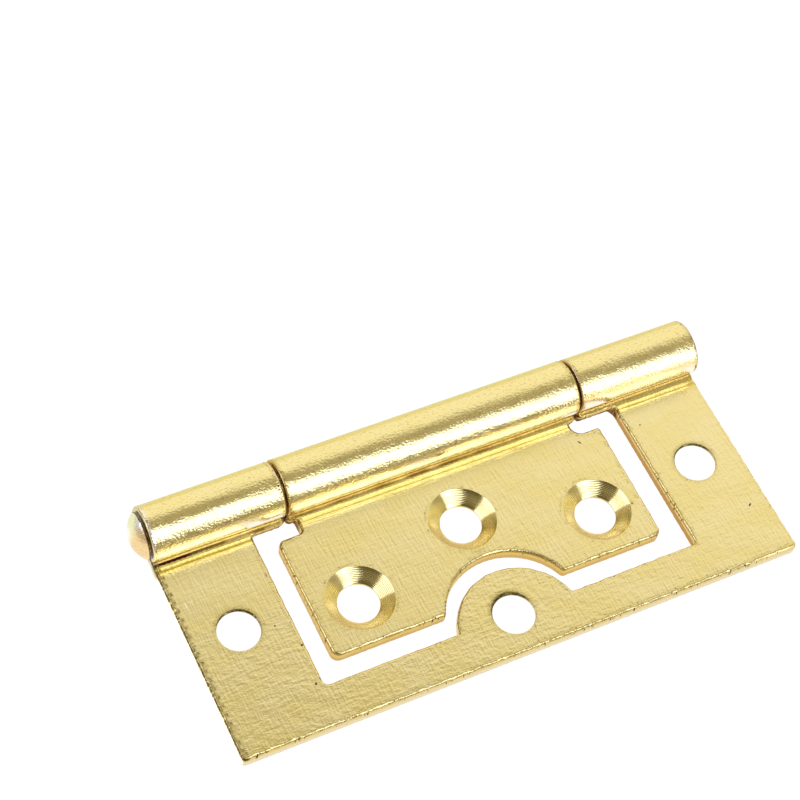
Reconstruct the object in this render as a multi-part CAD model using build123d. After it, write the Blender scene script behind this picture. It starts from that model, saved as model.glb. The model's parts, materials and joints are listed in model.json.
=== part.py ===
from build123d import *
import os
from math import acos, asin, atan, copysign, cos, degrees, isclose, sin

# Flush hinge of electro-brassed sheet steel, closed: the inner leaf lies nested in the outer leaf's window.
# Millimetres. X runs along the pin, Y from the front edge to the barrel, Z up out of the closed hinge.
# Origin: on the underside of the inner leaf, midway between its two end screw holes.
# A setback is a distance from the pin's axis towards the front edge.

# Sheet and roll
SHEET = 1.35
SET_SETBACK = 2.8         # the set is the small step up that the sheet takes before it is rolled
SET_LENGTH = 1.5
SET_RISE = 0.28           # of the inner leaf; it lifts the roll's underside off the leaf's
SEAM_GAP = 0.18           # between the rolled sheet's end and the leaf below it
EDGE_ROUND = 0.2          # the blanking die rolls the upper edges over

# Pin
PIN_RADIUS = 1.5
RUN_CLEARANCE = 0.05      # radial: the inner leaf turns on the pin
GRIP_CLEARANCE = 0.01     # radial: the outer leaf's knuckles are closed down on the pin
HEAD_RADIUS = 2.45
HEAD_HEIGHT = 1.25
HEAD_GAP = 0.2            # the head stands this far off the end knuckle
PIN_RECESS = 0.3          # the plain end stops this far inside the other end knuckle
PIN_CHAMFER = 0.2

# Along the pin
HINGE_LENGTH = 60.0
ARM_WIDTH = 9.8           # mean of the two; the shift below makes the left arm wider than the right
WINDOW_SHIFT = 0.3        # the window, its lobe and the notch are punched this far right of the middle
SIDE_GAP = 2.25           # between the inner leaf and each arm, before the shift
KNUCKLE_OVERHANG = 3.9    # how far an end knuckle reaches in past its arm, before the shift
KNUCKLE_GAP = 0.2
NECK_STEP = 0.9           # the centre knuckle is this much wider than the neck, each side
END_HOLE_INSET = 4.9      # end holes of both leaves, in from the leaf's side

# Across the pin
LEAF_DEPTH = 24.16        # the outer leaf, from the pin's axis to the front edge
WINDOW_SETBACK = 2.75     # where the window's back edge and the knuckles' undercut start
SHOULDER_SETBACK = 4.44
LOBE_HOLE_EDGE = 4.0      # from the front edge to the lobe's hole
LOBE_HOLE_DEPTH = 4.93    # from the lobe's hole to the lobe's crown
LOBE_GAP = 1.75           # from the lobe's crown to the notch's crown
NOTCH_DEPTH = 4.55        # from the notch's crown to the middle hole
FRONT_STRIP = 4.15
FRONT_GAP = 2.2           # between the inner leaf's front edge and the window's
INNER_HOLE_EDGE = 4.8     # the inner end holes, in from the inner leaf's front edge
ARM_HOLE_EDGE = 12.31     # from the front edge to the arms' holes
LOBE_RADIUS = 6.4
NOTCH_EASE = 0.5          # how much larger the notch's radius is than the lobe's

# Corner radii, seen from above; the punches differ a little from side to side
CORNER_EASE = 0.05        # a sharp corner's radius is this much larger than its rolled edge's
PLATE_FRONT_CORNER = 0.85
PLATE_BACK_CORNER = 0.8
NECK_ROOT = 1.0
NOTCH_MOUTH = 0.35
KNUCKLE_CORNER = 0.5
ARM_ROOT = 0.6

# Screw holes
HOLE_RADIUS = 2.1
SINK_RADIUS = 3.45
LAND_HEIGHT = 0.25        # the plain wall left below the countersink
RIM_ROUND = 0.1           # the punch draws the sheet in round a hole's plain side

# Derived sizes
run_bore = PIN_RADIUS + RUN_CLEARANCE
grip_bore = PIN_RADIUS + GRIP_CLEARANCE
axis_height = SET_RISE + SHEET + run_bore      # the pin's axis above the leaves' underside
sharp_corner = EDGE_ROUND + CORNER_EASE
half_length = HINGE_LENGTH / 2
window_half = half_length - ARM_WIDTH
window_left = WINDOW_SHIFT - window_half
window_right = WINDOW_SHIFT + window_half
plate_half = window_half - SIDE_GAP
end_knuckle_start = window_half - KNUCKLE_OVERHANG
centre_knuckle_half = end_knuckle_start - KNUCKLE_GAP
neck_half = centre_knuckle_half - NECK_STEP
lobe_hole = LEAF_DEPTH - LOBE_HOLE_EDGE
lobe_crown = lobe_hole - LOBE_HOLE_DEPTH
notch_crown = lobe_crown - LOBE_GAP
middle_hole = notch_crown - NOTCH_DEPTH
arm_hole = LEAF_DEPTH - ARM_HOLE_EDGE
window_depth = LEAF_DEPTH - FRONT_STRIP
plate_depth = window_depth - FRONT_GAP
inner_hole = plate_depth - INNER_HOLE_EDGE
notch_radius = LOBE_RADIUS + NOTCH_EASE
pin_y = inner_hole        # puts the origin between the inner leaf's end holes
SAME_PLACE = 0.001        # closer than this, two places are the same
split_height = axis_height - grip_bore + SEAM_GAP / 2


def y_at(setback):
    """Y of a line that lies this far in front of the pin's axis."""
    return pin_y - setback


def band(x_low, x_high, front, back):
    """Rectangle between two X values and two setbacks."""
    width = x_high - x_low
    depth = front - back
    return Pos((x_low + x_high) / 2, y_at((front + back) / 2)) * Rectangle(width, depth)


def rounded(sketch, corners):
    """The sketch with the corners (x, setback, radius) rounded."""
    for x, setback, radius in corners:
        corner = sketch.vertices().sort_by_distance((x, y_at(setback), 0))[0]
        sketch = fillet(corner, radius)
    return sketch


def rolled_sheet(half_width, depth, bore):
    """Sheet from the front edge through the set, rolled round the bore until its end meets the leaf again."""
    outside = bore + SHEET
    rise = axis_height - outside
    bend = 2 * atan(rise / SET_LENGTH)
    bend_radius = SET_LENGTH / (2 * sin(bend))
    wide = bend_radius + SHEET / 2
    tight = bend_radius - SHEET / 2
    turn = degrees(bend)
    start = SET_SETBACK + SET_LENGTH
    tail = acos((bore - SEAM_GAP) / outside)
    roll = 360 - degrees(tail)
    tail_outside = (-outside * sin(tail), axis_height - outside * cos(tail))
    tail_inside = (-bore * sin(tail), axis_height - bore * cos(tail))
    section = make_face([
        Line((-depth, 0), (-start, 0)),
        CenterArc((-start, wide), wide, 270, turn),
        CenterArc((-SET_SETBACK, rise - tight), tight, 90 + turn, -turn),
        Line((-SET_SETBACK, rise), (0, rise)),
        CenterArc((0, axis_height), outside, 270, roll),
        Line(tail_outside, tail_inside),
        CenterArc((0, axis_height), bore, 270 - degrees(tail), -roll),
        Line((0, rise + SHEET), (-SET_SETBACK, rise + SHEET)),
        CenterArc((-SET_SETBACK, rise - tight), wide, 90, turn),
        CenterArc((-start, wide), tight, 270 + turn, -turn),
        Line((-start, SHEET), (-depth, SHEET)),
        Line((-depth, SHEET), (-depth, 0)),
    ])
    return Pos(0, pin_y, 0) * extrude(Plane.YZ * section, half_width, both=True)


def cut_to_blank(sheet, blank, knuckles):
    """The rolled sheet cut to the blank's outline below the seam, and to the knuckles' spans above it."""
    below = extrude(Pos(0, 0, -SHEET) * blank, SHEET + split_height)
    above = [
        Pos(0, 0, split_height) * extrude(band(low, high, LEAF_DEPTH, -2 * axis_height), 2 * axis_height)
        for low, high in knuckles
    ]
    return sheet & (below + above)


def upper_edges(leaf):
    """Edges that lie in the leaf's flat upper side."""
    return leaf.edges().filter_by_position(Axis.Z, SHEET - SAME_PLACE, SHEET + SAME_PLACE)


def die_rolled(leaf):
    """The leaf with its upper outline rolled over, on round the set and the bore's ends."""
    set_start = y_at(SET_SETBACK + SET_LENGTH)
    outline = upper_edges(leaf).filter_by(lambda edge: abs(edge.center().Y - set_start) > SAME_PLACE)
    return fillet(outline, EDGE_ROUND)


def screw_hole(x, setback, sink_up):
    """Cutter for a countersunk hole; the countersink opens upwards or downwards."""
    sink = SHEET - LAND_HEIGHT
    cone = Pos(0, 0, SHEET - sink / 2) * Cone(HOLE_RADIUS, SINK_RADIUS, sink)
    if not sink_up:
        cone = mirror(cone, Plane.XY.offset(SHEET / 2))
    return Pos(x, y_at(setback), 0) * (cone + Cylinder(HOLE_RADIUS, 4 * SHEET))


def make_outer_leaf():
    """Frame leaf: window with a half-round lobe, two arms and the end knuckles rolled from them."""
    sheet = rolled_sheet(half_length, LEAF_DEPTH, grip_bore)
    behind = -2 * axis_height
    blank = band(-half_length, half_length, LEAF_DEPTH, behind)
    blank -= band(window_left, window_right, window_depth, WINDOW_SETBACK)
    blank -= band(-end_knuckle_start, end_knuckle_start, WINDOW_SETBACK, behind)
    lobe = Pos(WINDOW_SHIFT, y_at(lobe_crown + LOBE_RADIUS)) * Circle(LOBE_RADIUS)
    blank += lobe & band(window_left, window_right, LEAF_DEPTH, WINDOW_SETBACK)
    blank = rounded(blank, [
        corner
        for side, arm in ((-half_length, window_left), (half_length, window_right))
        for corner in (
            (side, LEAF_DEPTH, sharp_corner),
            (arm, window_depth, sharp_corner),
            (arm, WINDOW_SETBACK, ARM_ROOT),
            (copysign(end_knuckle_start, side), WINDOW_SETBACK, KNUCKLE_CORNER),
        )
    ])
    knuckles = [(-half_length, -end_knuckle_start), (end_knuckle_start, half_length)]
    leaf = die_rolled(cut_to_blank(sheet, blank, knuckles))
    arm_centre = half_length - END_HOLE_INSET
    for x, setback in ((-arm_centre, arm_hole), (arm_centre, arm_hole), (0, lobe_hole)):
        leaf -= screw_hole(x, setback, sink_up=False)
    upper_arcs = upper_edges(leaf).filter_by(GeomType.CIRCLE)
    rims = upper_arcs.filter_by(lambda arc: isclose(arc.radius, HOLE_RADIUS))
    return fillet(rims, RIM_ROUND)


def make_inner_leaf():
    """Nested leaf: plate with an arc notch that clears the lobe, a neck and the wide centre knuckle."""
    sheet = rolled_sheet(plate_half, plate_depth, run_bore)
    behind = -2 * axis_height
    blank = band(-plate_half, plate_half, plate_depth, SHOULDER_SETBACK)
    blank += band(-neck_half, neck_half, SHOULDER_SETBACK, WINDOW_SETBACK)
    blank += band(-centre_knuckle_half, centre_knuckle_half, WINDOW_SETBACK, behind)
    notch_centre = notch_crown + notch_radius
    blank -= Pos(WINDOW_SHIFT, y_at(notch_centre)) * Circle(notch_radius)
    mouth = (notch_radius**2 - (notch_centre - plate_depth) ** 2) ** 0.5
    blank = rounded(blank, [
        (-plate_half, plate_depth, PLATE_FRONT_CORNER),
        (plate_half, plate_depth, PLATE_FRONT_CORNER),
        (WINDOW_SHIFT - mouth, plate_depth, NOTCH_MOUTH),
        (WINDOW_SHIFT + mouth, plate_depth, NOTCH_MOUTH),
        (-plate_half, SHOULDER_SETBACK, PLATE_BACK_CORNER),
        (plate_half, SHOULDER_SETBACK, sharp_corner),
        (-neck_half, SHOULDER_SETBACK, sharp_corner),
        (neck_half, SHOULDER_SETBACK, NECK_ROOT),
        (-centre_knuckle_half, WINDOW_SETBACK, KNUCKLE_CORNER),
        (centre_knuckle_half, WINDOW_SETBACK, KNUCKLE_CORNER),
    ])
    leaf = die_rolled(cut_to_blank(sheet, blank, [(-centre_knuckle_half, centre_knuckle_half)]))
    end_hole = plate_half - END_HOLE_INSET
    for x, setback in ((-end_hole, inner_hole), (end_hole, inner_hole), (0, middle_hole)):
        leaf -= screw_hole(x, setback, sink_up=True)
    return leaf


def make_pin():
    """Wire pin with a low domed head at one end and a chamfered plain end."""
    seat = -half_length - HEAD_GAP
    end = half_length - PIN_RECESS
    dome_radius = (HEAD_RADIUS**2 + HEAD_HEIGHT**2) / (2 * HEAD_HEIGHT)
    dome_turn = degrees(asin(HEAD_RADIUS / dome_radius))
    section = make_face([
        Line((seat - HEAD_HEIGHT, 0), (end, 0)),
        Line((end, 0), (end, PIN_RADIUS - PIN_CHAMFER)),
        Line((end, PIN_RADIUS - PIN_CHAMFER), (end - PIN_CHAMFER, PIN_RADIUS)),
        Line((end - PIN_CHAMFER, PIN_RADIUS), (seat, PIN_RADIUS)),
        Line((seat, PIN_RADIUS), (seat, HEAD_RADIUS)),
        CenterArc((seat - HEAD_HEIGHT + dome_radius, 0), dome_radius, 180 - dome_turn, dome_turn),
    ])
    return Pos(0, pin_y, axis_height) * revolve(section, Axis.X)


pieces = {
    "outer_leaf": make_outer_leaf(),
    "inner_leaf": make_inner_leaf(),
    "hinge_pin": make_pin(),
}

os.makedirs("parts", exist_ok=True)
for name, piece in pieces.items():
    export_step(piece, f"parts/{name}.step")
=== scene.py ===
"""Looks of the closed flush hinge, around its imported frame.

A leaf is made here as the real one is. A flat blank is laid out in x, along the pin, and s, along the
sheet from where its set starts. Its sheared edge, holes and flat sides are put together there, with t
up through the sheet, and the whole blank is then bent through the set and round the pin.
Lengths are millimetres until a mesh is written, in metres.
"""
import json
from math import atan, ceil, cos, pi, radians, sin, tan

import bpy
import numpy as np
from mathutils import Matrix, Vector
from mathutils.geometry import delaunay_2d_cdt


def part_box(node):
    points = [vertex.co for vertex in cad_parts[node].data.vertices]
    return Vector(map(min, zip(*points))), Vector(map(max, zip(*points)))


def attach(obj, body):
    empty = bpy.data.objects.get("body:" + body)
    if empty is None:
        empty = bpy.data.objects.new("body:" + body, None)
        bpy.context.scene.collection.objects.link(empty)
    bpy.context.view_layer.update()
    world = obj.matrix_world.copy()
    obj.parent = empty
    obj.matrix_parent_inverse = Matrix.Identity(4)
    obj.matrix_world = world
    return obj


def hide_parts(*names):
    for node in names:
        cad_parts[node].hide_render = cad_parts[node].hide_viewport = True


MM = 0.001

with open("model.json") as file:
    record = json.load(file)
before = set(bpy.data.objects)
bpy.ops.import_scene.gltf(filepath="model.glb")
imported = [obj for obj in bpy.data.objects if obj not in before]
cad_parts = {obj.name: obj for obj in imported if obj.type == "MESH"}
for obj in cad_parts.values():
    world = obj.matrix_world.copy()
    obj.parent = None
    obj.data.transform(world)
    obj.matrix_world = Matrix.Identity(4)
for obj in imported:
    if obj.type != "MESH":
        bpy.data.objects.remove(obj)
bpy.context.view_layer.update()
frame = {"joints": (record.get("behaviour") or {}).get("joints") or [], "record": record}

# Sheet, roll and pin, as in the part; the set lies a little nearer the pin, as the photograph's reflections show
SHEET = 1.35
SET_SETBACK = 1.9
SET_LENGTH = 1.2
ROLL_TAIL = radians(59)   # from straight under the pin to the rolled end
TUCK = 0.13               # the roll draws in by this much towards its end
TUCK_LENGTH = 1.2
FLARE = 0.035             # its very edge stands out again by this much
FLARE_LENGTH = 0.22
RUN_BORE = 1.55           # inside radius of the knuckle that turns on the pin
GRIP_BORE = 1.51          # and of those that hold it
PIN_RADIUS = 1.5
PIN_CHAMFER = 0.2
HEAD_HEIGHT = 1.25
HEAD_EASE = 0.04          # the head's back edge lies this much inside its widest ring
HEAD_FILLET = 0.03        # between head and wire
PIN_POINTS = 96           # round the pin

# Outlines, as in the part
WINDOW_SETBACK = 2.75
SHOULDER_SETBACK = 4.44
ARM_WIDTH = 9.8
WINDOW_SHIFT = 0.3
KNUCKLE_OVERHANG = 3.9
KNUCKLE_GAP = 0.2
NECK_STEP = 0.9
FRONT_STRIP = 4.15
LOBE_RADIUS = 6.4
LOBE_HOLE_DEPTH = 4.93
LOBE_GAP = 1.75
NOTCH_EASE = 0.5
SHARP_CORNER = 0.4        # as wide as the rolled edge at its widest
PLATE_FRONT_CORNER = 0.85
PLATE_BACK_CORNER = 0.8
NECK_ROOT = 1.0
NOTCH_MOUTH = 0.4
KNUCKLE_CORNER = 0.5
ARM_ROOT = 0.6

# Sheared edges and the sides between them
ROLL_WIDTH = 0.3          # the die rolls the upper edge in by this much
ROLL_DROP = 0.4           # and down by this much
BURNISH_END = 0.52        # the fracture starts at this share of the thickness
LOW_ROUND = 0.045         # radius of the lower edge
KNUCKLE_ROUND = 0.1       # added to it on the knuckles
SIDE_WAVE = 0.006

# Holes
SINK_RADIUS = 3.45
LAND_HEIGHT = 0.25        # of the straight land at the countersink's foot
RIM_ROUND = 0.12          # of the punched rim at the plain side
RIM_ROWS = 6              # points down that round
RING_PITCH = 0.17         # of the turned rings in the countersink
RING_DEPTH = 0.009

# Read from the frame
record = frame["record"]
mounts = {mount["name"]: mount for mount in record["mounts"]}
axis_place = np.array(frame["joints"][0]["pos_m"]) / MM
PIN_Y = axis_place[1]
AXIS_HEIGHT = axis_place[2]
HOLE_RADIUS = mounts["inner_leaf_screws"]["dims"]["hole_r_mm"]


def node_box(name):
    """Lowest and highest corner of a CAD node, in millimetres."""
    low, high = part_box(name)
    return np.array(low) / MM, np.array(high) / MM


def mount_place(name):
    """X and Y of a mount, in millimetres."""
    return np.array(mounts[name]["pos_m"][:2]) / MM


outer_low, outer_high = node_box("outer_leaf")
inner_low, inner_high = node_box("inner_leaf")
HALF_LENGTH = outer_high[0]
PLATE_HALF = inner_high[0]
WINDOW_HALF = HALF_LENGTH - ARM_WIDTH
END_KNUCKLE_START = WINDOW_HALF - KNUCKLE_OVERHANG
CENTRE_KNUCKLE_HALF = END_KNUCKLE_START - KNUCKLE_GAP
NECK_HALF = CENTRE_KNUCKLE_HALF - NECK_STEP
OUTER_FRONT = outer_low[1]
INNER_FRONT = inner_low[1]
WINDOW_FRONT = OUTER_FRONT + FRONT_STRIP
LOBE_CROWN = mount_place("lobe_hole")[1] + LOBE_HOLE_DEPTH
NOTCH_CROWN = LOBE_CROWN + LOBE_GAP
SET_START = PIN_Y - SET_SETBACK - SET_LENGTH

# Fineness of the meshes
LOOP_STEP = 0.2           # between points along a sheared edge
FLAT_STEP = 0.55          # between points inside a flat side
BEND_STEP = 0.15          # between rows where the sheet is bent
CLEARANCE = 0.16          # an inside point stands at least this far off an edge
RING_POINTS = 144         # round a hole
CORNER_CLEAR = 0.45       # no point of an edge is nearer than this to a square corner

# Stage
FLOOR_RADIUS = 1500       # so wide that its edge is far outside the picture
FLOOR_POINTS = 96
FLOOR_LEVEL = -0.02       # just under the hinge, so that no two faces coincide
SOFTBOX_DISTANCE = 0.9    # metres


class Bend:
    """How one leaf's blank is bent: the lengths and angles of its set and its roll."""

    def __init__(self, bore):
        self.outside = bore + SHEET
        self.middle = bore + SHEET / 2
        self.rise = AXIS_HEIGHT - self.outside
        self.turn = 2 * atan(self.rise / SET_LENGTH)
        self.set_radius = SET_LENGTH / (2 * sin(self.turn))
        self.arc = self.set_radius * self.turn
        self.roll_start = 2 * self.arc + SET_SETBACK
        self.roll_turn = 2 * pi - ROLL_TAIL
        self.end = self.roll_start + self.middle * self.roll_turn

    def s_of(self, setback):
        """Length along the sheet of a line at this setback from the pin's axis, before or behind the set."""
        if setback > SET_SETBACK:
            return SET_SETBACK + SET_LENGTH - setback
        return 2 * self.arc + SET_SETBACK - setback

    def place(self, s, t):
        """Y and Z of points at length s and height t.

        Formula: flat; then an arc that rises and one that levels out, each of the set's turn; then flat;
        then a circle about the pin, whose radius shrinks towards the rolled end and grows at its very edge,
        each by the square of the way along that stretch.
        An arc's radius grows or shrinks by the height off the sheet's middle.
        """
        middle_up = t - SHEET / 2
        rise_angle = np.clip(s / self.set_radius, 0, self.turn)
        level_angle = self.turn - np.clip((s - self.arc) / self.set_radius, 0, self.turn)
        roll_angle = np.clip((s - self.roll_start) / self.middle, 0, None)
        rising = self.set_radius - middle_up
        levelling = self.set_radius + middle_up
        left_to_end = self.end - s
        flare = FLARE * np.clip(1 - left_to_end / FLARE_LENGTH, 0, 1) ** 2
        tuck = TUCK * np.clip(1 - left_to_end / TUCK_LENGTH, 0, 1) ** 2
        rolling = self.middle - middle_up + flare - tuck
        y_flat = SET_START + np.minimum(s, 0)
        y_rise = rising * np.sin(rise_angle)
        z_rise = self.set_radius + SHEET / 2 - rising * np.cos(rise_angle)
        y_level = SET_START + SET_LENGTH - levelling * np.sin(level_angle)
        z_level = self.rise - self.set_radius + SHEET / 2 + levelling * np.cos(level_angle)
        y_back = PIN_Y - SET_SETBACK + (s - 2 * self.arc)
        y_roll = PIN_Y + rolling * np.sin(roll_angle)
        z_roll = AXIS_HEIGHT - rolling * np.cos(roll_angle)
        zones = [s <= 0, s <= self.arc, s <= 2 * self.arc, s <= self.roll_start]
        y = np.select(zones, [y_flat, SET_START + y_rise, y_level, y_back], y_roll)
        z = np.select(zones, [t, z_rise, z_level, self.rise + t], z_roll)
        return y, z


def wave(x, y, length, seed):
    """Smooth unevenness between about -1 and 1.

    Formula: the mean of seven sine waves of about this wavelength, each in its own random direction.
    """
    draw = np.random.default_rng(seed)
    angle = draw.uniform(0, 2 * pi, 7)
    per_length = 2 * pi / (length * draw.uniform(0.7, 1.5, 7))
    phase = draw.uniform(0, 2 * pi, 7)
    along = np.multiply.outer(x, np.cos(angle)) + np.multiply.outer(y, np.sin(angle))
    return np.sin(along * per_length + phase).mean(-1) * 1.8


def rounded_loop(corners):
    """Closed loop of evenly spaced points through corners (x, s, radius), counter-clockwise.

    Formula: a corner is the arc that touches both its sides, so it starts radius times the tangent of
    half the turn before the corner; what lies between two arcs is straight.
    """
    points = []
    square = []
    count = len(corners)
    for i, (x, s, radius) in enumerate(corners):
        corner = np.array((x, s))
        coming = corner - np.array(corners[i - 1][:2])
        going = np.array(corners[(i + 1) % count][:2]) - corner
        coming /= np.linalg.norm(coming)
        going /= np.linalg.norm(going)
        cross = coming[0] * going[1] - coming[1] * going[0]
        turn = np.arctan2(cross, coming @ going)
        if radius == 0:
            points.append(corner[None])
            if abs(turn) > 0.5:
                square.append(corner)
            continue
        side = np.sign(turn)
        left = np.array((-coming[1], coming[0]))
        start = corner - coming * radius * tan(abs(turn) / 2)
        swing = np.linspace(0, abs(turn), max(4, ceil(abs(turn) * radius / LOOP_STEP) + 1))[:, None]
        arc = start + radius * (coming * np.sin(swing) + side * left * (1 - np.cos(swing)))
        points.append(arc)
    corner_points = np.concatenate(points)
    ahead = np.roll(corner_points, -1, 0)
    length = np.linalg.norm(ahead - corner_points, axis=1)
    parts = np.maximum(1, np.ceil(length / LOOP_STEP)).astype(int)
    which = np.repeat(np.arange(len(parts)), parts)
    first = np.repeat(np.cumsum(parts) - parts, parts)
    share = ((np.arange(parts.sum()) - first) / parts[which])[:, None]
    loop = corner_points[which] * (1 - share) + ahead[which] * share
    if square:
        off = distance_to(loop, [np.array(square)])
        loop = loop[(off < 1e-6) | (off > CORNER_CLEAR)]
    return loop


def outward(loop):
    """Outward unit normals of a counter-clockwise loop: the mean of the two sides' normals, mitred."""
    side = np.roll(loop, -1, 0) - loop
    side /= np.linalg.norm(side, axis=1)[:, None]
    normal = np.column_stack((side[:, 1], -side[:, 0]))
    mean = normal + np.roll(normal, 1, 0)
    return mean / np.maximum((mean * mean).sum(1) / 2, 0.5)[:, None]


def inside_loops(points, loops):
    """True where a point is inside an odd number of the loops: where a ray crosses their sides that often."""
    crossings = np.zeros(len(points), int)
    for loop in loops:
        a = loop
        b = np.roll(loop, -1, 0)
        above = (a[:, 1] > points[:, 1, None]) != (b[:, 1] > points[:, 1, None])
        slope = (b[:, 0] - a[:, 0]) / np.where(b[:, 1] == a[:, 1], 1e-12, b[:, 1] - a[:, 1])
        crossing = a[:, 0] + slope * (points[:, 1, None] - a[:, 1])
        crossings += (above & (points[:, 0, None] < crossing)).sum(1)
    return crossings % 2 == 1


def distance_to(points, loops):
    """Distance from each point to the nearest point of the loops, in blocks to save memory."""
    border = np.concatenate(loops)
    blocks = [
        np.sqrt(((block[:, None] - border) ** 2).sum(2).min(1))
        for block in np.array_split(points, max(1, len(points) // 500))
    ]
    return np.concatenate(blocks)


def filling(loops, rows, step):
    """Points that fill the region inside the loops: rows at the given s, every other one moved by half a step."""
    low = loops[0].min(0)
    high = loops[0].max(0)
    columns = np.arange(low[0], high[0] + step, step)
    x, s = np.meshgrid(columns, rows)
    x = x + (np.arange(len(rows)) % 2)[:, None] * step / 2
    points = np.column_stack((x.ravel(), s.ravel()))
    points = points[inside_loops(points, loops)]
    return points[distance_to(points, loops) > CLEARANCE]


def triangles_between(loops, inner_points):
    """Triangles of the region inside the loops, as indices into the loops' points and then the inner points."""
    points = np.concatenate([*loops, inner_points])
    sizes = [len(loop) for loop in loops]
    starts = np.cumsum([0, *sizes[:-1]])
    sides = np.concatenate([
        np.column_stack((start + np.arange(size), start + np.roll(np.arange(size), -1)))
        for start, size in zip(starts, sizes)
    ])
    found = delaunay_2d_cdt([Vector(p) for p in points.tolist()], sides.tolist(), [], 0, 1e-7)
    back = np.array([ids[0] for ids in found[3]])
    triangles = back[np.array(found[2])]
    centres = points[triangles].mean(1)
    return triangles[inside_loops(centres, loops)]


class Blank:
    """Collects a leaf's points (x, s, t), faces and marks while it is still flat."""

    def __init__(self):
        self.points = []
        self.quads = []
        self.triangles = []
        self.marks = {"wall": [], "sink": [], "edge": [], "punched": []}
        self.count = 0

    def add_points(self, points, wall=0.0, sink=0.0, edge=5.0, punched=0.0):
        """Points with their marks; returns the first one's index."""
        first = self.count
        self.points.append(points)
        for name, value in (("wall", wall), ("sink", sink), ("edge", edge), ("punched", punched)):
            self.marks[name].append(np.broadcast_to(np.asarray(value, float), len(points)))
        self.count += len(points)
        return first

    def add_band(self, rows, around, wall, sink, edge, punched=None):
        """Grid of points, one row per step of the profile, closed round the loop.

        A mark is one value per row, or one per point. Returns the index of the first and the last row.
        """
        if punched is None:
            punched = np.zeros(len(rows))
        size = (len(rows), around)
        marks = [
            np.broadcast_to(np.reshape(mark, (len(rows), -1)), size).ravel()
            for mark in (wall, sink, edge, punched)
        ]
        first = self.add_points(rows.reshape(-1, 3), *marks)
        here = np.arange(around)
        ahead = np.roll(here, -1)
        down = np.arange(len(rows) - 1)[:, None] * around + first
        quads = np.stack((down + here, down + ahead, down + around + ahead, down + around + here), -1)
        self.quads.append(quads.reshape(-1, 4))
        return first, first + (len(rows) - 1) * around


def add_edge(blank, loop, seed, roll_start):
    """Sheared edge along a loop, counter-clockwise; returns the index of its upper and lower border.

    Formula: a quarter ellipse where the die rolls the edge over, a plain burnished band, then the
    fracture, which slopes in a little, and a quarter circle round the lower edge, larger on the knuckles.
    """
    turn = np.radians(np.linspace(0, 90, 7))
    roll_in = 1 - np.sin(turn)
    roll_down = 1 - np.cos(turn)
    normal = outward(loop)
    reach = np.concatenate(([0], np.cumsum(np.linalg.norm(np.diff(loop, axis=0), axis=1))))
    ripple = wave(reach, reach * 0.3, 1.4, seed)
    tear = wave(reach, reach * 0.2, 0.5, seed + 1)
    low_round = LOW_ROUND + KNUCKLE_ROUND * np.clip((loop[:, 1] - roll_start) / 1.5, 0, 1)
    width = ROLL_WIDTH * (1 + 0.22 * ripple)
    drop = ROLL_DROP * (1 + 0.3 * ripple)
    break_height = SHEET * (BURNISH_END + 0.06 * ripple)
    inset = [roll * width for roll in roll_in]
    height = [SHEET - roll * drop for roll in roll_down]
    for share, slope in ((1.0, 0.0), (0.92, 0.006), (0.6, 0.014)):
        inset.append(slope * (1.5 + tear))
        height.append(low_round + (break_height - low_round) * share)
    for angle in np.radians((0, 30, 60, 90)):
        inset.append(0.018 * (1.5 + tear) + low_round * (1 - cos(angle)))
        height.append(low_round * (1 - sin(angle)))
    inset = np.array(inset)
    height = np.array(height)
    rows = np.empty((len(inset), len(loop), 3))
    rows[..., :2] = loop - normal * inset[..., None]
    rows[..., 2] = height
    # One mark per row: seven down the die's roll, three down the fracture, four round the lower edge
    wall = np.array([0, 0.03, 0.08, 0.16, 0.3, 0.45, 0.6, 0.8, 1, 1, 1, 1, 0.9, 0.6])
    edge = np.array([0.3, 0.25, 0.2, 0.14, 0.08, 0.03, 0, 0, 0, 0, 0, 0, 0.02, 0.08])
    return blank.add_band(rows, len(loop), wall, np.zeros(len(inset)), edge)


def hole_profile(sink_up):
    """Radii, heights and sink marks down a hole, from the upper side.

    Formula: a short round at the plain side, a straight land, and the countersink's straight slope
    with the tool's turned rings on it, a sine wave across the slope.
    """
    turn = np.radians(np.linspace(0, 90, RIM_ROWS))
    rim_radius = HOLE_RADIUS + RIM_ROUND * (1 - np.sin(turn))
    rim_height = SHEET - RIM_ROUND * (1 - np.cos(turn))
    share = np.linspace(0, 1, 50)
    slope_length = np.hypot(SINK_RADIUS - HOLE_RADIUS, SHEET - LAND_HEIGHT)
    ring = RING_DEPTH * np.sin(2 * pi * share * slope_length / RING_PITCH) * np.sin(pi * share) ** 0.4
    slope_radius = SINK_RADIUS + (HOLE_RADIUS - SINK_RADIUS) * share
    slope_height = SHEET + (LAND_HEIGHT - SHEET) * share
    slope_radius = slope_radius + ring * (SHEET - LAND_HEIGHT) / slope_length
    slope_height = slope_height - ring * (SINK_RADIUS - HOLE_RADIUS) / slope_length
    lip_radius = np.array((SINK_RADIUS + 0.06,))
    lip_height = np.array((SHEET,))
    radius = np.concatenate((lip_radius, slope_radius, (HOLE_RADIUS, HOLE_RADIUS, HOLE_RADIUS + 0.05)))
    height = np.concatenate((lip_height, slope_height, (LAND_HEIGHT * 0.6, 0.05, 0)))
    sink = np.concatenate(((0.3,), np.ones(len(share)), (0.4, 0.2, 0)))
    if sink_up:
        return radius, height, sink
    radius = np.concatenate((rim_radius, (HOLE_RADIUS,), radius[::-1][3:]))
    height = np.concatenate((rim_height, (SHEET - LAND_HEIGHT * 0.6,), SHEET - height[::-1][3:]))
    return radius, height, np.concatenate((np.zeros(RIM_ROWS + 1), sink[::-1][3:]))


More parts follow.
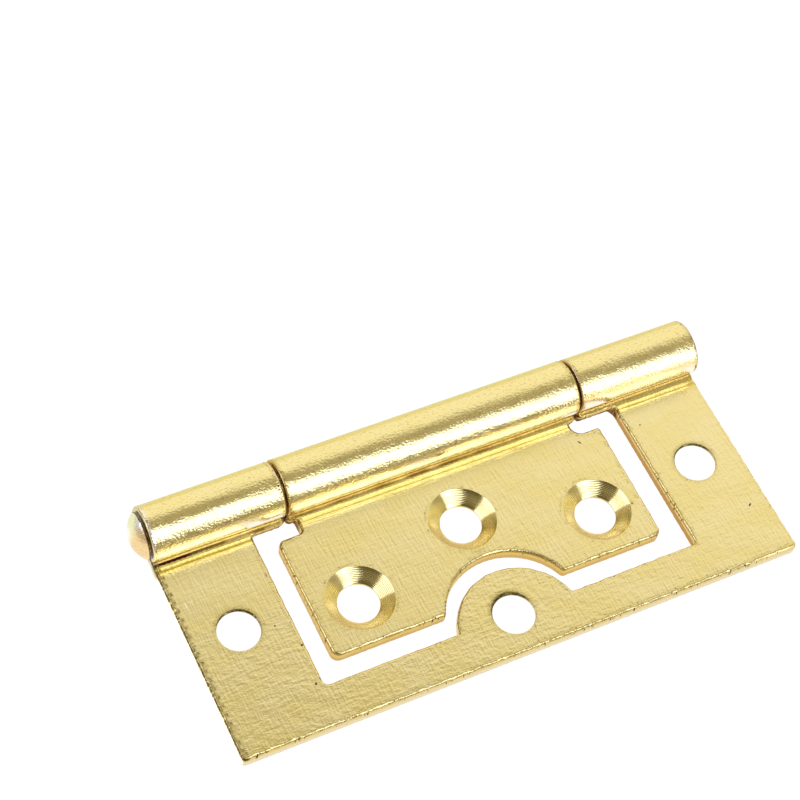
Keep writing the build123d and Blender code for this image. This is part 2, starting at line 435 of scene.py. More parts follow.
def add_hole(blank, x, s, sink_up, lean=(0.0, 0.0)):
    """Hole in the blank, whose plain side's round lean widens towards one direction, where the punch dragged.

    Returns its upper and lower border as loops, clockwise, with the indices of their points.
    """
    angle = np.linspace(0, -2 * pi, RING_POINTS, endpoint=False)
    direction = np.column_stack((np.cos(angle), np.sin(angle)))
    radius, height, sink = hole_profile(sink_up)
    towards = np.clip(direction @ np.array(lean), 0, None) ** 2
    extra = np.zeros(len(radius))
    if not sink_up:
        extra[:RIM_ROWS] = np.clip((radius[:RIM_ROWS] - HOLE_RADIUS) / RIM_ROUND, 0, 1)
    chatter = 1 + 0.004 * wave(np.cos(angle) * 4, np.sin(angle) * 4, 2.2, int(abs(x) * 10) + 3)
    reach = radius[:, None] * np.where(sink[:, None] > 0.9, chatter, 1) + extra[:, None] * towards
    rows = np.empty((len(radius), RING_POINTS, 3))
    rows[..., 0] = x + reach * direction[:, 0]
    rows[..., 1] = s + reach * direction[:, 1]
    rows[..., 2] = height[:, None]
    wall = np.where(sink > 0.9, 0.0, np.clip((SHEET - height) / SHEET * 1.4, 0, 1) * (1 - sink))
    punched = np.zeros((len(radius), RING_POINTS))
    # Painted shade: the plain side's rim is painted dark, most towards where its round is dragged widest
    if not sink_up:
        dragged = 0.15 + 0.85 * np.clip(direction @ np.array(lean) / np.hypot(*lean) + 0.35, 0, 1)
        dark = np.array((0.3, 0.7, 1, 1, 1, 1, 1, 0.8))
        punched[:len(dark)] = dark[:, None] * dragged
    upper, lower = blank.add_band(rows, RING_POINTS, wall, sink, np.full(len(radius), 0.3), punched)
    return rows[0, :, :2], rows[-1, :, :2], upper, lower


def add_side(blank, loops, indices, height, rows, upward):
    """Flat upper or lower side of the blank, joined to the borders of its edge and holes."""
    inner = filling(loops, rows, FLAT_STEP)
    near = distance_to(inner, loops)
    lift = SIDE_WAVE * wave(inner[:, 0], inner[:, 1], 5.0, 11 + upward) * np.clip(near / 1.5, 0, 1)
    level = height + lift if upward else height - np.minimum(lift, 0)
    first = blank.add_points(np.column_stack((inner, level)), edge=near)
    index = np.concatenate([start + np.arange(len(loop)) for start, loop in zip(indices, loops)])
    index = np.concatenate((index, first + np.arange(len(inner))))
    triangles = index[triangles_between(loops, inner)]
    flat = np.concatenate(blank.points)[triangles]
    ab = flat[:, 1, :2] - flat[:, 0, :2]
    ac = flat[:, 2, :2] - flat[:, 0, :2]
    faces_up = ab[:, 0] * ac[:, 1] - ab[:, 1] * ac[:, 0] > 0
    wrong = faces_up != upward
    triangles[wrong] = triangles[wrong][:, ::-1]
    blank.triangles.append(triangles)


def bent_rows(bend):
    """Rows of s for a side's inside points: wide apart where the sheet stays flat, close together where it bends."""
    flat = np.arange(-30, -FLAT_STEP / 2, FLAT_STEP * 0.87)
    flat -= flat[-1] + FLAT_STEP * 0.87
    bent = np.arange(0, bend.end + BEND_STEP, BEND_STEP)
    return np.concatenate((flat, bent))


def write_mesh(name, points, faces, marks, flat_map=None):
    """Mesh object in metres, smooth but for its sharp edges, with marks as attributes and the blank's own map."""
    mesh = bpy.data.meshes.new(name)
    mesh.from_pydata((points * MM).tolist(), [], [f for group in faces for f in group.tolist()])
    for mark, values in marks.items():
        attribute = mesh.attributes.new(mark, "FLOAT", "POINT")
        attribute.data.foreach_set("value", values.astype(np.float32))
    if flat_map is not None:
        layer = mesh.uv_layers.new(name="blank")
        corner = np.empty(len(mesh.loops), np.int32)
        mesh.loops.foreach_get("vertex_index", corner)
        layer.data.foreach_set("uv", (flat_map[corner] * MM).astype(np.float32).ravel())
    mesh.shade_smooth()
    mesh.set_sharp_from_angle(angle=radians(40))
    mesh.validate()
    piece = bpy.data.objects.new(name, mesh)
    bpy.context.scene.collection.objects.link(piece)
    return piece


def make_leaf(name, corners, bend, holes, seed, relief):
    """One leaf: its blank from outline corners (x, s, radius) and holes, bent round the pin."""
    blank = Blank()
    loop = rounded_loop(corners)
    upper, lower = add_edge(blank, loop, seed, bend.roll_start)
    made = [add_hole(blank, **hole) for hole in holes]
    points = np.concatenate(blank.points)
    rows = bent_rows(bend)
    count = len(loop)
    upper_loops = [points[upper:upper + count, :2], *[hole[0] for hole in made]]
    lower_loops = [points[lower:lower + count, :2], *[hole[1] for hole in made]]
    add_side(blank, upper_loops, [upper, *[hole[2] for hole in made]], SHEET, rows, True)
    add_side(blank, lower_loops, [lower, *[hole[3] for hole in made]], 0, rows, False)
    points = np.concatenate(blank.points)
    y, z = bend.place(points[:, 1], points[:, 2])
    marks = {mark: np.concatenate(values) for mark, values in blank.marks.items()}
    marks["rolled"] = np.clip((points[:, 1] - bend.roll_start + 1.2) / 0.8, 0, 1)
    marks["upper"] = (points[:, 2] > SHEET / 2).astype(float)
    marks["leather"], marks["brushed"] = relief(points[:, 0], points[:, 1])
    bent = np.column_stack((points[:, 0], y, z))
    return write_mesh(name, bent, [*blank.quads, *blank.triangles], marks, points[:, :2])


def arc_corners(centre_x, centre_s, radius, start, end, count):
    """Plain corners along an arc from one angle to another, in degrees from +X."""
    angle = np.radians(np.linspace(start, end, count))
    return [(centre_x + radius * cos(a), centre_s + radius * sin(a), 0) for a in angle]


def mirrored(corners):
    """The corners on the other side of the middle line, in the order that keeps the loop's direction."""
    return [(-x, s, radius) for x, s, radius in reversed(corners)]


def outer_relief(x, s):
    """Leathery relief strongest in the front strip and at its left end, and no brushed lines."""
    leather = np.clip((-s - 6) / 6, 0, 1) * np.clip(1 - (x + 8) / 40, 0.35, 1) + 0.25
    return leather * np.clip(-s / 1.5, 0, 1), np.zeros(len(x))


def inner_relief(x, s):
    """Faint leathery relief, and brushed lines that grow towards the seam."""
    return np.full(len(x), 0.6) * np.clip(-s / 1.5, 0, 1), np.clip(1 + s / 6, 0.15, 1) * np.clip(-s / 0.6, 0, 1)


def make_outer_leaf():
    """Frame leaf: front strip with a half-round lobe, two arms, and an end knuckle rolled from each arm."""
    bend = Bend(GRIP_BORE)
    front = OUTER_FRONT - SET_START
    window_front = WINDOW_FRONT - SET_START
    undercut = bend.s_of(WINDOW_SETBACK)
    lobe_centre = LOBE_CROWN - LOBE_RADIUS - SET_START
    root = np.degrees(np.arcsin((window_front - lobe_centre) / LOBE_RADIUS))

    def arm(window_edge):
        """Corners of the arm on the right, up its outer side and back down the window's."""
        return [
            (HALF_LENGTH, front, SHARP_CORNER),
            (HALF_LENGTH, bend.end, 0),
            (END_KNUCKLE_START, bend.end, 0),
            (END_KNUCKLE_START, undercut, KNUCKLE_CORNER),
            (window_edge, undercut, ARM_ROOT),
            (window_edge, window_front, SHARP_CORNER),
        ]

    lobe = arc_corners(WINDOW_SHIFT, lobe_centre, LOBE_RADIUS, root, 180 - root, 70)
    corners = [*arm(WINDOW_HALF + WINDOW_SHIFT), *lobe, *mirrored(arm(WINDOW_HALF - WINDOW_SHIFT))]
    arm_x = mounts["outer_leaf_screws"]["dims"]["spacing_x_mm"] / 2
    arm_s = mount_place("outer_leaf_screws")[1] - SET_START
    lobe_s = mount_place("lobe_hole")[1] - SET_START
    holes = [
        dict(x=-arm_x, s=arm_s, sink_up=False, lean=(0.1, 0.25)),
        dict(x=arm_x, s=arm_s, sink_up=False, lean=(0.0, 0.2)),
        dict(x=0.0, s=lobe_s, sink_up=False, lean=(-0.08, 0.52)),
    ]
    return make_leaf("outer_leaf_plate", corners, bend, holes, 21, outer_relief)


def make_inner_leaf():
    """Nested leaf: plate with an arc notch that clears the lobe, a neck, and the wide centre knuckle."""
    bend = Bend(RUN_BORE)
    front = INNER_FRONT - SET_START
    shoulder = bend.s_of(SHOULDER_SETBACK)
    undercut = bend.s_of(WINDOW_SETBACK)
    notch_radius = LOBE_RADIUS + NOTCH_EASE
    notch_centre = NOTCH_CROWN - notch_radius - SET_START
    mouth = np.degrees(np.arcsin((front - notch_centre) / notch_radius))
    mouth_x = notch_radius * cos(radians(mouth))
    notch = arc_corners(WINDOW_SHIFT, notch_centre, notch_radius, 180 - mouth, mouth, 60)
    right = [
        (PLATE_HALF, front, PLATE_FRONT_CORNER),
        (PLATE_HALF, shoulder, SHARP_CORNER),
        (NECK_HALF, shoulder, NECK_ROOT),
        (NECK_HALF, undercut, 0.15),
        (CENTRE_KNUCKLE_HALF, undercut, KNUCKLE_CORNER),
        (CENTRE_KNUCKLE_HALF, bend.end, 0),
    ]
    left = mirrored(right)
    left[3] = (*left[3][:2], SHARP_CORNER)
    left[4] = (*left[4][:2], PLATE_BACK_CORNER)
    right_mouth = (WINDOW_SHIFT + mouth_x, front, NOTCH_MOUTH)
    left_mouth = (WINDOW_SHIFT - mouth_x, front, NOTCH_MOUTH)
    corners = [*notch[3:-3], right_mouth, *right, *left, left_mouth]
    end_x = mounts["inner_leaf_screws"]["dims"]["spacing_x_mm"] / 2
    end_s = mount_place("inner_leaf_screws")[1] - SET_START
    middle_s = mount_place("inner_leaf_middle_hole")[1] - SET_START
    holes = [
        dict(x=-end_x, s=end_s, sink_up=True),
        dict(x=end_x, s=end_s, sink_up=True),
        dict(x=0.0, s=middle_s, sink_up=True),
    ]
    return make_leaf("inner_leaf_plate", corners, bend, holes, 41, inner_relief)


def make_pin():
    """Wire pin: a profile of radii turned about its axis, with a low dome that the peening hammer left uneven.

    Formula: the head is a cap of a sphere; each ring is a circle, and on the head the surface is moved
    in by a smooth wave of up to about two hundredths of a millimetre.
    """
    low, high = node_box("hinge_pin")
    head_radius = (high[2] - low[2]) / 2
    seat = low[0] + HEAD_HEIGHT
    dome_radius = (head_radius ** 2 + HEAD_HEIGHT ** 2) / (2 * HEAD_HEIGHT)
    cap = np.linspace(0, np.arcsin(head_radius / dome_radius), 40)[1:]
    dome_x = low[0] + dome_radius * (1 - np.cos(cap))
    dome_r = dome_radius * np.sin(cap)
    shank_x = np.array([seat, seat, seat + 0.05, high[0] - PIN_CHAMFER, high[0]])
    shank_r = np.array([head_radius - HEAD_EASE, PIN_RADIUS + HEAD_FILLET,
                        PIN_RADIUS, PIN_RADIUS, PIN_RADIUS - PIN_CHAMFER])
    profile_x = np.concatenate((dome_x, shank_x))
    profile_r = np.concatenate((dome_r, shank_r))
    angle = np.linspace(0, 2 * pi, PIN_POINTS, endpoint=False)
    x = np.repeat(profile_x[:, None], PIN_POINTS, 1)
    y = profile_r[:, None] * np.cos(angle)
    z = profile_r[:, None] * np.sin(angle)
    head = np.zeros(len(profile_x))
    head[:len(dome_x)] = np.sin(np.linspace(0.2, pi, len(dome_x)))
    x = x + 0.012 * (1 + wave(y, z, 1.1, 5)) * head[:, None]
    rings = np.stack((x, y, z), -1).reshape(-1, 3)
    poles = np.array([[low[0], 0, 0], [high[0], 0, 0]])
    points = np.concatenate((rings, poles)) + [0, PIN_Y, AXIS_HEIGHT]
    here = np.arange(PIN_POINTS)
    ahead = np.roll(here, -1)
    down = np.arange(len(profile_x) - 1)[:, None] * PIN_POINTS
    below = down + PIN_POINTS
    quads = np.stack((down + here, below + here, below + ahead, down + ahead), -1).reshape(-1, 4)
    top = len(rings)
    last = (len(profile_x) - 1) * PIN_POINTS
    caps = np.concatenate((
        np.column_stack((np.full(PIN_POINTS, top), here, ahead)),
        np.column_stack((np.full(PIN_POINTS, top + 1), last + ahead, last + here)),
    ))
    marks = {mark: np.zeros(len(points)) for mark in ("wall", "sink", "leather", "brushed", "punched", "upper")}
    marks["rolled"] = np.ones(len(points))
    marks["edge"] = np.full(len(points), 5.0)
    on_head = np.append(np.repeat(np.arange(len(profile_x)) < len(dome_x), PIN_POINTS), (True, False))
    marks["leather"] = on_head.astype(float)
    # Painted shadow: the head's back rim is painted near black, for the gap behind the head
    rim = (profile_r > 0.965 * head_radius) & (profile_x > low[0] + HEAD_HEIGHT * 0.4)
    marks["punched"] = np.append(np.repeat(rim, PIN_POINTS), (False, False)).astype(float)
    flat_map = np.where(on_head[:, None], points[:, [2, 1]], points[:, :2])
    return write_mesh("pin_wire", points, [quads, caps], marks, flat_map)


def linear(code):
    """Linear colour of an sRGB hex value."""
    channels = [int(code[i:i + 2], 16) / 255 for i in (1, 3, 5)]
    return [c / 12.92 if c <= 0.04045 else ((c + 0.055) / 1.055) ** 2.4 for c in channels] + [1.0]


def add_node(tree, kind, links=(), **settings):
    """Node of this kind with its settings: in_ sets an input, and links pairs an input with a socket."""
    node = tree.nodes.new(kind)
    for name, value in settings.items():
        if name.startswith("in_"):
            key = name[3:]
            node.inputs[int(key) if key.isdigit() else key.replace("_", " ")].default_value = value
        else:
            setattr(node, name, value)
    for key, socket in links:
        tree.links.new(socket, node.inputs[key])
    return node


def sum_of(tree, sockets):
    """Sum of several height sockets."""
    total = sockets[0]
    for socket in sockets[1:]:
        total = add_node(tree, "ShaderNodeMath", [(0, total), (1, socket)], operation="ADD").outputs[0]
    return total


def brassed_steel(name, look):
    """Cold-rolled steel sheet with a thin bright brass plating, which follows every grain line and dent under it.

    The eye sees pale gold, the linen-like crossing lines of the rolled sheet, and a coarser leathery relief
    where the mark "leather" is high. Where the sheet is rolled round the pin it is glossier, with fine speckle
    and etched specks, and it is painted paler towards its end, a painted highlight. The countersinks are turned
    gold. The rims of the holes on their plain side are painted dark, a painted shade, and the back rim of the
    pin's head near black, a painted shadow of the gap behind it. The set is painted deeper yellow, a painted
    reflection of the roll, and the rounded edge at the roll's left end pale, a painted reflection. A greenish
    line follows the bend, and a brown line of painted shadow lies at the foot of the roll, by the seam. Walls
    right of about x = 16 are painted brown, a painted shade, and those under the overhang of the knuckles are
    painted browner still and made rough and hardly metallic, a painted shade too. Dings and scratches have
    their places in the look: x, s, half length, half width, turn in degrees, and whether it is a pale scratch.
    """
    material = bpy.data.materials.new(name)
    material.use_nodes = True
    tree = material.node_tree
    tree.nodes.clear()

    def mark(label):
        """The mesh's mark of this name."""
        return add_node(tree, "ShaderNodeAttribute", attribute_name=label).outputs["Fac"]

    def math(kind, a, b, c=None):
        """Math node of this kind on sockets or numbers."""
        node = add_node(tree, "ShaderNodeMath", operation=kind)
        for i, value in enumerate((a, b, c)):
            if isinstance(value, bpy.types.NodeSocket):
                tree.links.new(value, node.inputs[i])
            elif value is not None:
                node.inputs[i].default_value = value
        return node.outputs[0]

    def product(*values):
        """Product of sockets and numbers."""
        total = values[0]
        for value in values[1:]:
            total = math("MULTIPLY", total, value)
        return total

    def rest_of(share):
        """What a share leaves of one."""
        return math("SUBTRACT", 1.0, share)

    def ramp(value, low, high, out_low=0.0, out_high=1.0):
        """Smooth step from one value to another, level outside low and high."""
        node = add_node(tree, "ShaderNodeMapRange", [("Value", value)], interpolation_type="SMOOTHSTEP",
                        in_1=low, in_2=high, in_3=out_low, in_4=out_high)
        return node.outputs["Result"]

    def mix(share, a, b):
        """Colour a with this share of b, each a socket or an sRGB hex value."""
        node = add_node(tree, "ShaderNodeMix", [("Factor", share)], data_type="RGBA")
        for key, value in ((6, a), (7, b)):
            if isinstance(value, bpy.types.NodeSocket):
                tree.links.new(value, node.inputs[key])
            else:
                node.inputs[key].default_value = linear(value)
        return node.outputs[2]

    place = add_node(tree, "ShaderNodeUVMap", uv_map="blank").outputs["UV"]
    split = add_node(tree, "ShaderNodeSeparateXYZ", [(0, place)])
    across, along = [product(split.outputs[i], 1 / MM) for i in (0, 1)]   # x and s in millimetres

    def stripe(middle, half_width):
        """One on the line at this s, falling to nothing half_width away, in millimetres."""
        away = math("ABSOLUTE", math("SUBTRACT", along, middle), 0.0)
        return ramp(away, 0.3 * half_width, half_width, 1.0, 0.0)

    def noise(length_x, length_s, detail=1.0, offset=0.0, distortion=0.0):
        """Noise whose grains are this long along x and s, in millimetres, between about -1 and 1."""
        spread = add_node(tree, "ShaderNodeMapping", [("Vector", place)], in_Location=(offset, offset, offset),
                          in_Scale=(1 / (length_x * MM), 1 / (length_s * MM), 1))
        node = add_node(tree, "ShaderNodeTexNoise", [("Vector", spread.outputs[0])], in_Scale=1.0,
                        in_Detail=detail, in_Distortion=distortion)
        return math("MULTIPLY_ADD", node.outputs[0], 4.0, -2.0)

    wall, sink, rolled, leather, brushed, edge, punched, upper = [
        mark(label) for label in ("wall", "sink", "rolled", "leather", "brushed", "edge", "punched", "upper")
    ]
    flat = rest_of(rolled)
    plain = rest_of(math("MAXIMUM", sink, wall))
    topside = product(upper, plain)
    near_edge = product(ramp(edge, 0.12, 0.4, 1.0, 0.0), rest_of(sink))
    left_end = ramp(across, -29.5, -29.1, 1.0, 0.0)

    # Relief in millimetres
    warp = noise(0.24, 1.6, 2.0, 3.1)
    weft = noise(1.6, 0.24, 2.0, 7.7)
    linen = product(math("MULTIPLY_ADD", warp, 2.2, weft), flat, look["linen"])
    lines = product(noise(0.2, 6.0, 2.0, 1.3), brushed, look["lines"])
    wrinkles = product(noise(0.75, 0.42, 2.0, 5.5, 0.4), leather, look["leather"])
    speckle = product(noise(0.26, 0.17, 3.0, 9.1), math("MULTIPLY_ADD", rolled, look["speckle"], 0.0003),
                      ramp(noise(1.6, 0.9, 2.0, 12.3), -0.9, 0.6, 0.5, 1.3))
    dents = product(noise(2.6, 1.1, 1.0, 2.2), rolled, look["dents"])
    grit = product(noise(0.4, 0.14, 2.0, 1.9), near_edge, 0.013)
    groove = product(stripe(-0.42, 0.16), -0.008)
    torn = product(noise(0.09, 0.3, 2.0, 4.4), wall, 0.004)

    # Small dark marks: about one in seven cells of a scattered pattern holds a pit; the rest are at the edges
    cells = add_node(tree, "ShaderNodeTexVoronoi", [("Vector", place)], in_Scale=1 / (2.1 * MM))
    chosen = math("GREATER_THAN", cells.outputs["Color"], 0.86)
    pit = product(ramp(cells.outputs["Distance"], 0.02, 0.055, 1.0, 0.0), chosen, plain)
    nick = product(ramp(noise(0.24, 0.24, 2.0, 6.6), 0.42, 0.7), near_edge, rest_of(ramp(wall, 0.5, 0.9)))
    ticks = product(ramp(noise(0.5, 0.22, 2.0, 3.3), -1.0, 0.1), left_end, flat, near_edge,
                    rest_of(ramp(wall, 0.35, 0.65)))

    ding = scratch = product(upper, 0.0)
    for x, s, half_long, half_wide, turn, pale in look["dings"]:
        nearby = add_node(tree, "ShaderNodeMapping", [("Vector", place)], vector_type="TEXTURE",
                          in_Location=(x * MM, s * MM, 0), in_Rotation=(0, 0, radians(turn)),
                          in_Scale=(half_long * MM, half_wide * MM, 1))
        away = add_node(tree, "ShaderNodeVectorMath", [(0, nearby.outputs[0])], operation="LENGTH")
        one = product(ramp(away.outputs["Value"], 0.4, 1.0, 1.0, 0.0), upper)
        if pale:
            scratch = math("MAXIMUM", scratch, one)
        else:
            ding = math("MAXIMUM", ding, one)
    stain = math("MAXIMUM", math("MAXIMUM", pit, nick), ding)

    height = product(sum_of(tree, [linen, lines, wrinkles, speckle, dents]), plain)
    hollow = product(math("ADD", stain, scratch), -0.012)
    height = sum_of(tree, [height, torn, grit, groove, hollow])
    bump = add_node(tree, "ShaderNodeBump", [("Height", height)], in_Strength=1.0, in_Distance=MM)

    # Where each colour lies
    tone = ramp(noise(5.0, 3.0, 2.0, 8.8), -0.9, 0.9)
    # Painted reflection: the set's upper side is painted deeper yellow, for the roll it reflects
    set_reflection = product(ramp(along, -0.95, -0.45), ramp(along, 0.9, 1.4, 1.0, 0.0), upper)
    etched = product(ramp(noise(0.36, 0.14, 3.0, 21.0), 0.1, 0.9), rolled, look["etched"])
    # Painted highlight: the roll is painted paler towards its end, for the bright light its lower front reflects
    tail_highlight = product(ramp(along, look["end"] - 2.5, look["end"] - 1.2), rolled)
    # Painted shade: the lower walls right of about x = 16, behind the front strip, are painted brown, chiefly the
    # window's right wall in the gap
    right_wall_shade = product(ramp(across, 15, 18), ramp(along, -20, -18.5), ramp(wall, 0.5, 0.8), look["right_wall_shade"])
    between_arms = ramp(math("ABSOLUTE", across, 0.0), 22, 23, 1.0, 0.0)
    # Painted shade: walls under the overhang of the knuckles are painted brown, and made rough and hardly metallic
    undercut = product(ramp(wall, 0.3, 0.7), ramp(along, -0.9, -0.3), flat, between_arms)
    undercut_shade_brown = mix(ramp(noise(1.5, 0.1, 2.0, 17.3), -0.4, 0.5), "#B08045", "#6B3512")
    # Painted shade on the holes' rims and painted shadow behind the pin's head: a dark colour, broken by noise
    dark_rim = product(punched, ramp(noise(0.3, 0.3, 2.0, 19.9), -0.8, 0.2, 0.6, 1.0))
    fading = ramp(across, 2, 20, 1.0, 0.4)
    bend_line = product(stripe(-0.28, 0.26), topside, look["bend_line"], fading)
    shade = math("MAXIMUM", ramp(noise(2.6, 2.6, 1.0, 15.1), -0.5, 0.6, 0.35, 0.9),
                 ramp(across, -26.5, -24.5, 1.0, 0.0))
    # Painted shadow: a brown line on the leaf's upper side at the foot of the roll, darkest at the left, stands for
    # the seam's dark gap
    seam_shadow = product(stripe(0.7, 0.2), topside, shade, fading)
    seam_shadow_brown = mix(ramp(across, -26, -22), "#451004", "#8A6216")

    colour = mix(tone, look["colour"], look["tone"])
    for share, layer in (
        (product(rolled, 0.6), look["roll_colour"]),
        (product(set_reflection, 0.55), "#EFC850"),
        (etched, "#5F5018"),
        (tail_highlight, "#FFF8DC"),
        (sink, "#F0D682"),
        (product(near_edge, 0.55), "#CFB25E"),
        # Painted reflection: the rounded edges at the roll's left end are painted pale, for the bright floor beside
        # them
        (product(near_edge, rolled, left_end), "#FBE6C4"),
        (ramp(wall, 0.2, 0.6), look["burnished"]),
        (ramp(wall, 0.86, 0.98), look["torn"]),
        (right_wall_shade, "#B5803C"),
        (undercut, undercut_shade_brown),
        (dark_rim, look["punched"]),
        (bend_line, "#A08018"),
        (seam_shadow, seam_shadow_brown),
        (ticks, "#6E5E28"),
        (scratch, "#FFF3C4"),
        (stain, "#5E3C14"),
    ):
        colour = mix(share, colour, layer)

    # Walls painted brown in shade keep their warmth at grazing angles, and the undercut ones are made hardly
    # metallic
    warm = math("MAXIMUM", right_wall_shade, math("MAXIMUM", undercut, product(wall, look["warm_walls"])))
    grazing = mix(warm, "#FFFFFF", "#FFEBB0")
    metallic = math("MULTIPLY_ADD", undercut, -0.85, 1.0)
    roughness = look["roughness"]
    for share, change in (
        (rolled, look["gloss"] - look["roughness"]),
        (sink, -0.1),
        (wall, 0.15),
        (undercut, 0.5),
        (noise(0.6, 0.6, 2.0, 4.9), 0.02),
    ):
        roughness = math("MULTIPLY_ADD", share, change, roughness)
    shader = add_node(tree, "ShaderNodeBsdfPrincipled",
                      [("Base Color", colour), ("Normal", bump.outputs["Normal"]), ("Roughness", roughness),
                       ("Specular Tint", grazing), ("Metallic", metallic)])
    add_node(tree, "ShaderNodeOutputMaterial", [("Surface", shader.outputs["BSDF"])])
    return material


def glow_card(name, shade):
    """Matt black card that glows in one shade."""
    material = bpy.data.materials.new(name)
    material.use_nodes = True
    shader = material.node_tree.nodes["Principled BSDF"]
    shader.inputs["Base Color"].default_value = (0.0, 0.0, 0.0, 1)
    shader.inputs["Roughness"].default_value = 1.0
    shader.inputs["Specular IOR Level"].default_value = 0.0
    shader.inputs["Emission Color"].default_value = shade
    shader.inputs["Emission Strength"].default_value = 1.0
    return material


def make_floor():
    """White floor lit evenly from below, as a light table is, so that the shadows on it stay faint.

    Formula: a flat disc.
    """
    angle = np.linspace(0, 2 * pi, FLOOR_POINTS, endpoint=False)
    level = np.full(FLOOR_POINTS, FLOOR_LEVEL)
    points = np.column_stack((FLOOR_RADIUS * np.cos(angle), FLOOR_RADIUS * np.sin(angle), level))
    floor = write_mesh("studio_floor", points, [np.arange(FLOOR_POINTS)[None]], {})
    material = bpy.data.materials.new("light_table_acrylic")
    material.use_nodes = True
    shader = material.node_tree.nodes["Principled BSDF"]
    shader.inputs["Base Color"].default_value = (0.1, 0.1, 0.1, 1)
    shader.inputs["Roughness"].default_value = 0.9
    shader.inputs["Emission Color"].default_value = (1, 1, 1, 1)
    shader.inputs["Emission Strength"].default_value = 0.96
    floor.data.materials.append(material)


def seen_from_hinge(azimuth, elevation):
    """Unit vector from the hinge at an azimuth from +Y towards +X and an elevation, in degrees."""
    az = radians(azimuth)
    el = radians(elevation)
    return Vector((sin(az) * cos(el), cos(az) * cos(el), sin(el)))


def softbox(name, azimuth, elevation, left, right, low, high, colour, feathers=()):
    """Rectangular light that faces the hinge, at an azimuth and elevation in degrees.

    Its sides lie at these slopes from its middle, as the hinge sees them. A feather fades it across a straight
    line, from nothing at the first slope to full at the second, both measured at an angle from its right.
    An area light's power is its radiance times pi times its area.
    """
    direction = seen_from_hinge(azimuth, elevation)
    turn = direction.to_track_quat("Z", "Y")
    across = turn @ Vector((1, 0, 0))
    up = turn @ Vector((0, 1, 0))
    lamp = bpy.data.lights.new(name, "AREA")
    lamp.shape = "RECTANGLE"
    lamp.size = (right - left) * SOFTBOX_DISTANCE
    lamp.size_y = (high - low) * SOFTBOX_DISTANCE
    lamp.energy = pi * lamp.size * lamp.size_y
    lamp.color = colour
    light = bpy.data.objects.new(name, lamp)
    bpy.context.scene.collection.objects.link(light)
    middle = across * (left + right) / 2 + up * (low + high) / 2
    light.location = SOFTBOX_DISTANCE * (direction + middle)
    light.rotation_euler = turn.to_euler()
    light.visible_camera = False
    if feathers:
        lamp.use_nodes = True
        tree = lamp.node_tree
        glow = tree.nodes["Emission"]
        spot = add_node(tree, "ShaderNodeNewGeometry").outputs["Parametric"]
        sizes = Vector((right - left, high - low, 0))
        strength = None
        for angle, start, end in feathers:
            aim = Vector((cos(radians(angle)), sin(radians(angle)), 0))
            slope = add_node(tree, "ShaderNodeVectorMath", [(0, spot)], operation="DOT_PRODUCT",
                             in_1=aim * sizes)
            shift = aim.x * left + aim.y * low
            fade = add_node(tree, "ShaderNodeMapRange", [("Value", slope.outputs["Value"])],
                            interpolation_type="SMOOTHSTEP", in_1=start - shift, in_2=end - shift)
            if strength is None:
                strength = fade.outputs["Result"]
            else:
                strength = add_node(tree, "ShaderNodeMath", [(0, strength), (1, fade.outputs["Result"])],
                                    operation="MULTIPLY").outputs[0]
        tree.links.new(strength, glow.inputs["Strength"])


def flag(name, corners, shade):
    """Card or glow that only the gloss of the brass sees, from its four corners in millimetres."""
    card = write_mesh(name, np.array(corners, float), [np.arange(4)[None]], {})
    card.data.materials.append(glow_card(name + "_paper", shade))
    for ray in ("camera", "diffuse", "transmission", "volume_scatter", "shadow"):
        setattr(card, "visible_" + ray, False)


outer = make_outer_leaf()
inner = make_inner_leaf()
pin = make_pin()

OUTER_LOOK = dict(
    colour="#F2D681", tone="#F4DA8E", roll_colour="#F5DA86", burnished="#E6CE8E", torn="#EAD9A8",
    # The dark rim colour is painted shade
    punched="#5C4C1E", roughness=0.24, gloss=0.13, linen=0.0027, lines=0.0, leather=0.008, speckle=0.0095,
    # The brown share on the right-hand walls is painted shade
    dents=0.012, etched=0.36, bend_line=0.8, warm_walls=0.0, right_wall_shade=0.85, end=Bend(GRIP_BORE).end,
    dings=[
        (-20.22, -12.38, 0.22, 0.14, 20, False),
        (-20.67, -16.54, 0.2, 0.16, 60, False),
        (-21.77, -9.6, 0.12, 0.12, 0, False),
        (21.94, -2.75, 0.13, 0.1, 0, False),
        (27.82, -15.2, 0.3, 0.12, 35, False),
        (-28.7, -4.5, 0.62, 0.05, -86, True),
        (-28.15, -4.37, 0.55, 0.06, -62, True),
        (-25.5, 9.8, 0.4, 0.1, 3, False),
        (-24.91, 10.45, 0.16, 0.2, 0, False),
        (-28.78, 9.92, 0.07, 0.3, 15, False),
    ],
)
# The inner leaf's walls are painted darker and given a warmer gloss than the frame leaf's: painted shade, for the
# gap round them
INNER_LOOK = dict(
    OUTER_LOOK, burnished="#DFC270", torn="#D3AE68", linen=0.0032, lines=0.0016, leather=0.002,
    bend_line=0.35, warm_walls=0.6, right_wall_shade=0.0, end=Bend(RUN_BORE).end,
    dings=[
        (15.1, -2.3, 0.3, 0.09, -60, False),
        (-9.2, 10.1, 0.14, 0.12, 0, False),
    ],
)
PIN_LOOK = dict(
    # Its near-black rim colour is a painted shadow, of the gap behind the head
    OUTER_LOOK, roll_colour="#F2CE9C", punched="#241005", gloss=0.27, linen=0.0, leather=0.006,
    dents=0.006, etched=0.25, dings=[],
)
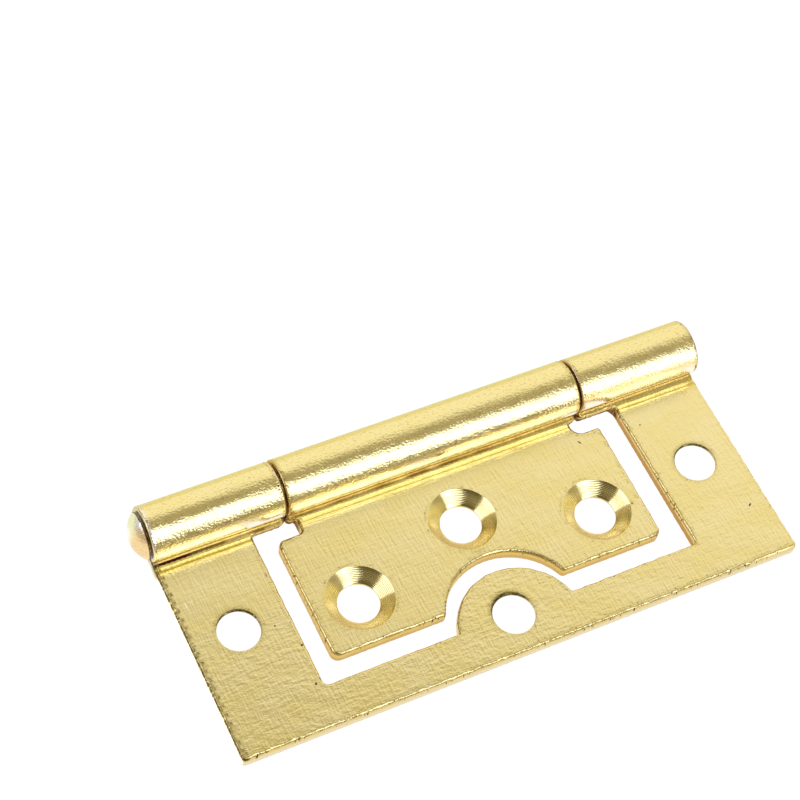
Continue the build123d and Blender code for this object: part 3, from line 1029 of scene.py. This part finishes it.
for piece, node, body, slot, material, look in (
    (outer, "outer_leaf", "fixed_leaf", "outer_leaf_brass", "brassed_steel_frame_leaf", OUTER_LOOK),
    (inner, "inner_leaf", "swinging_leaf", "inner_leaf_brass", "brassed_steel_nested_leaf", INNER_LOOK),
    (pin, "hinge_pin", "fixed_leaf", "pin_brass", "brassed_wire", PIN_LOOK),
):
    piece.data.materials.append(brassed_steel(material, look))
    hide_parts(node)
    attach(piece, body)

make_floor()

# Azimuth and elevation, slopes of the left, right, low and high sides, radiance, and feathers
softbox("key_softbox", 165, 38, -0.55, 0.42, -0.95, 0.62, (2.25, 2.8, 5.2),
        feathers=[(24.6, -0.23, 0.005), (208.5, -0.49, -0.13)])
softbox("left_softbox", 285, 33, -0.36, 0.36, -0.16, 0.4, (1.7, 1.9, 3.4))
softbox("back_softbox", 35, 36, -0.9, 0.75, -0.8, 0.8, (0.605, 0.69, 0.94), feathers=[(-90, -0.781, -0.325)])
softbox("side_card", 92, 10, -0.45, 0.45, -0.3, 0.22, (0.4, 0.42, 0.5))
flag("back_floor_card", [(-400, 17.5, 0.1), (400, 17.5, 0.1), (400, 500, 0.1), (-400, 500, 0.1)],
     (0.9, 0.93, 0.72, 1))
flag("left_floor_glow", [(-31.4, -11.1, 0.01), (-30.02, -11.1, 0.01), (-30.02, 9.6, 0.01), (-31.4, 9.6, 0.01)],
     (2.6, 2.7, 3.4, 1))
flag("front_flag", [(-70, -26, 0), (33, -26, 0), (33, -26, 11), (-70, -26, 11)], (0.33, 0.33, 0.33, 1))
camera_side = [300 * seen_from_hinge(az, el) for az, el in ((198, 20), (262, 20), (262, 56), (198, 60))]
flag("camera_side_flag", camera_side, (0.13, 0.12, 0.1, 1))

world = bpy.data.worlds.new("studio")
world.use_nodes = True
world.node_tree.nodes["Background"].inputs["Color"].default_value = (0.46, 0.46, 0.46, 1)
bpy.context.scene.world = world
bpy.context.scene.view_settings.view_transform = "Standard"

# Camera, fitted together with the hinge's proportions; metres and degrees
camera_data = bpy.data.cameras.new("camera")
camera_data.lens = 100.216
camera_data.sensor_width = 36.0
camera = bpy.data.objects.new("camera", camera_data)
camera.location = (-0.07251, -0.08220, 0.18877)
camera.rotation_euler = (radians(33.010), radians(-6.6725), radians(-25.618))
bpy.context.scene.collection.objects.link(camera)
bpy.context.scene.camera = camera
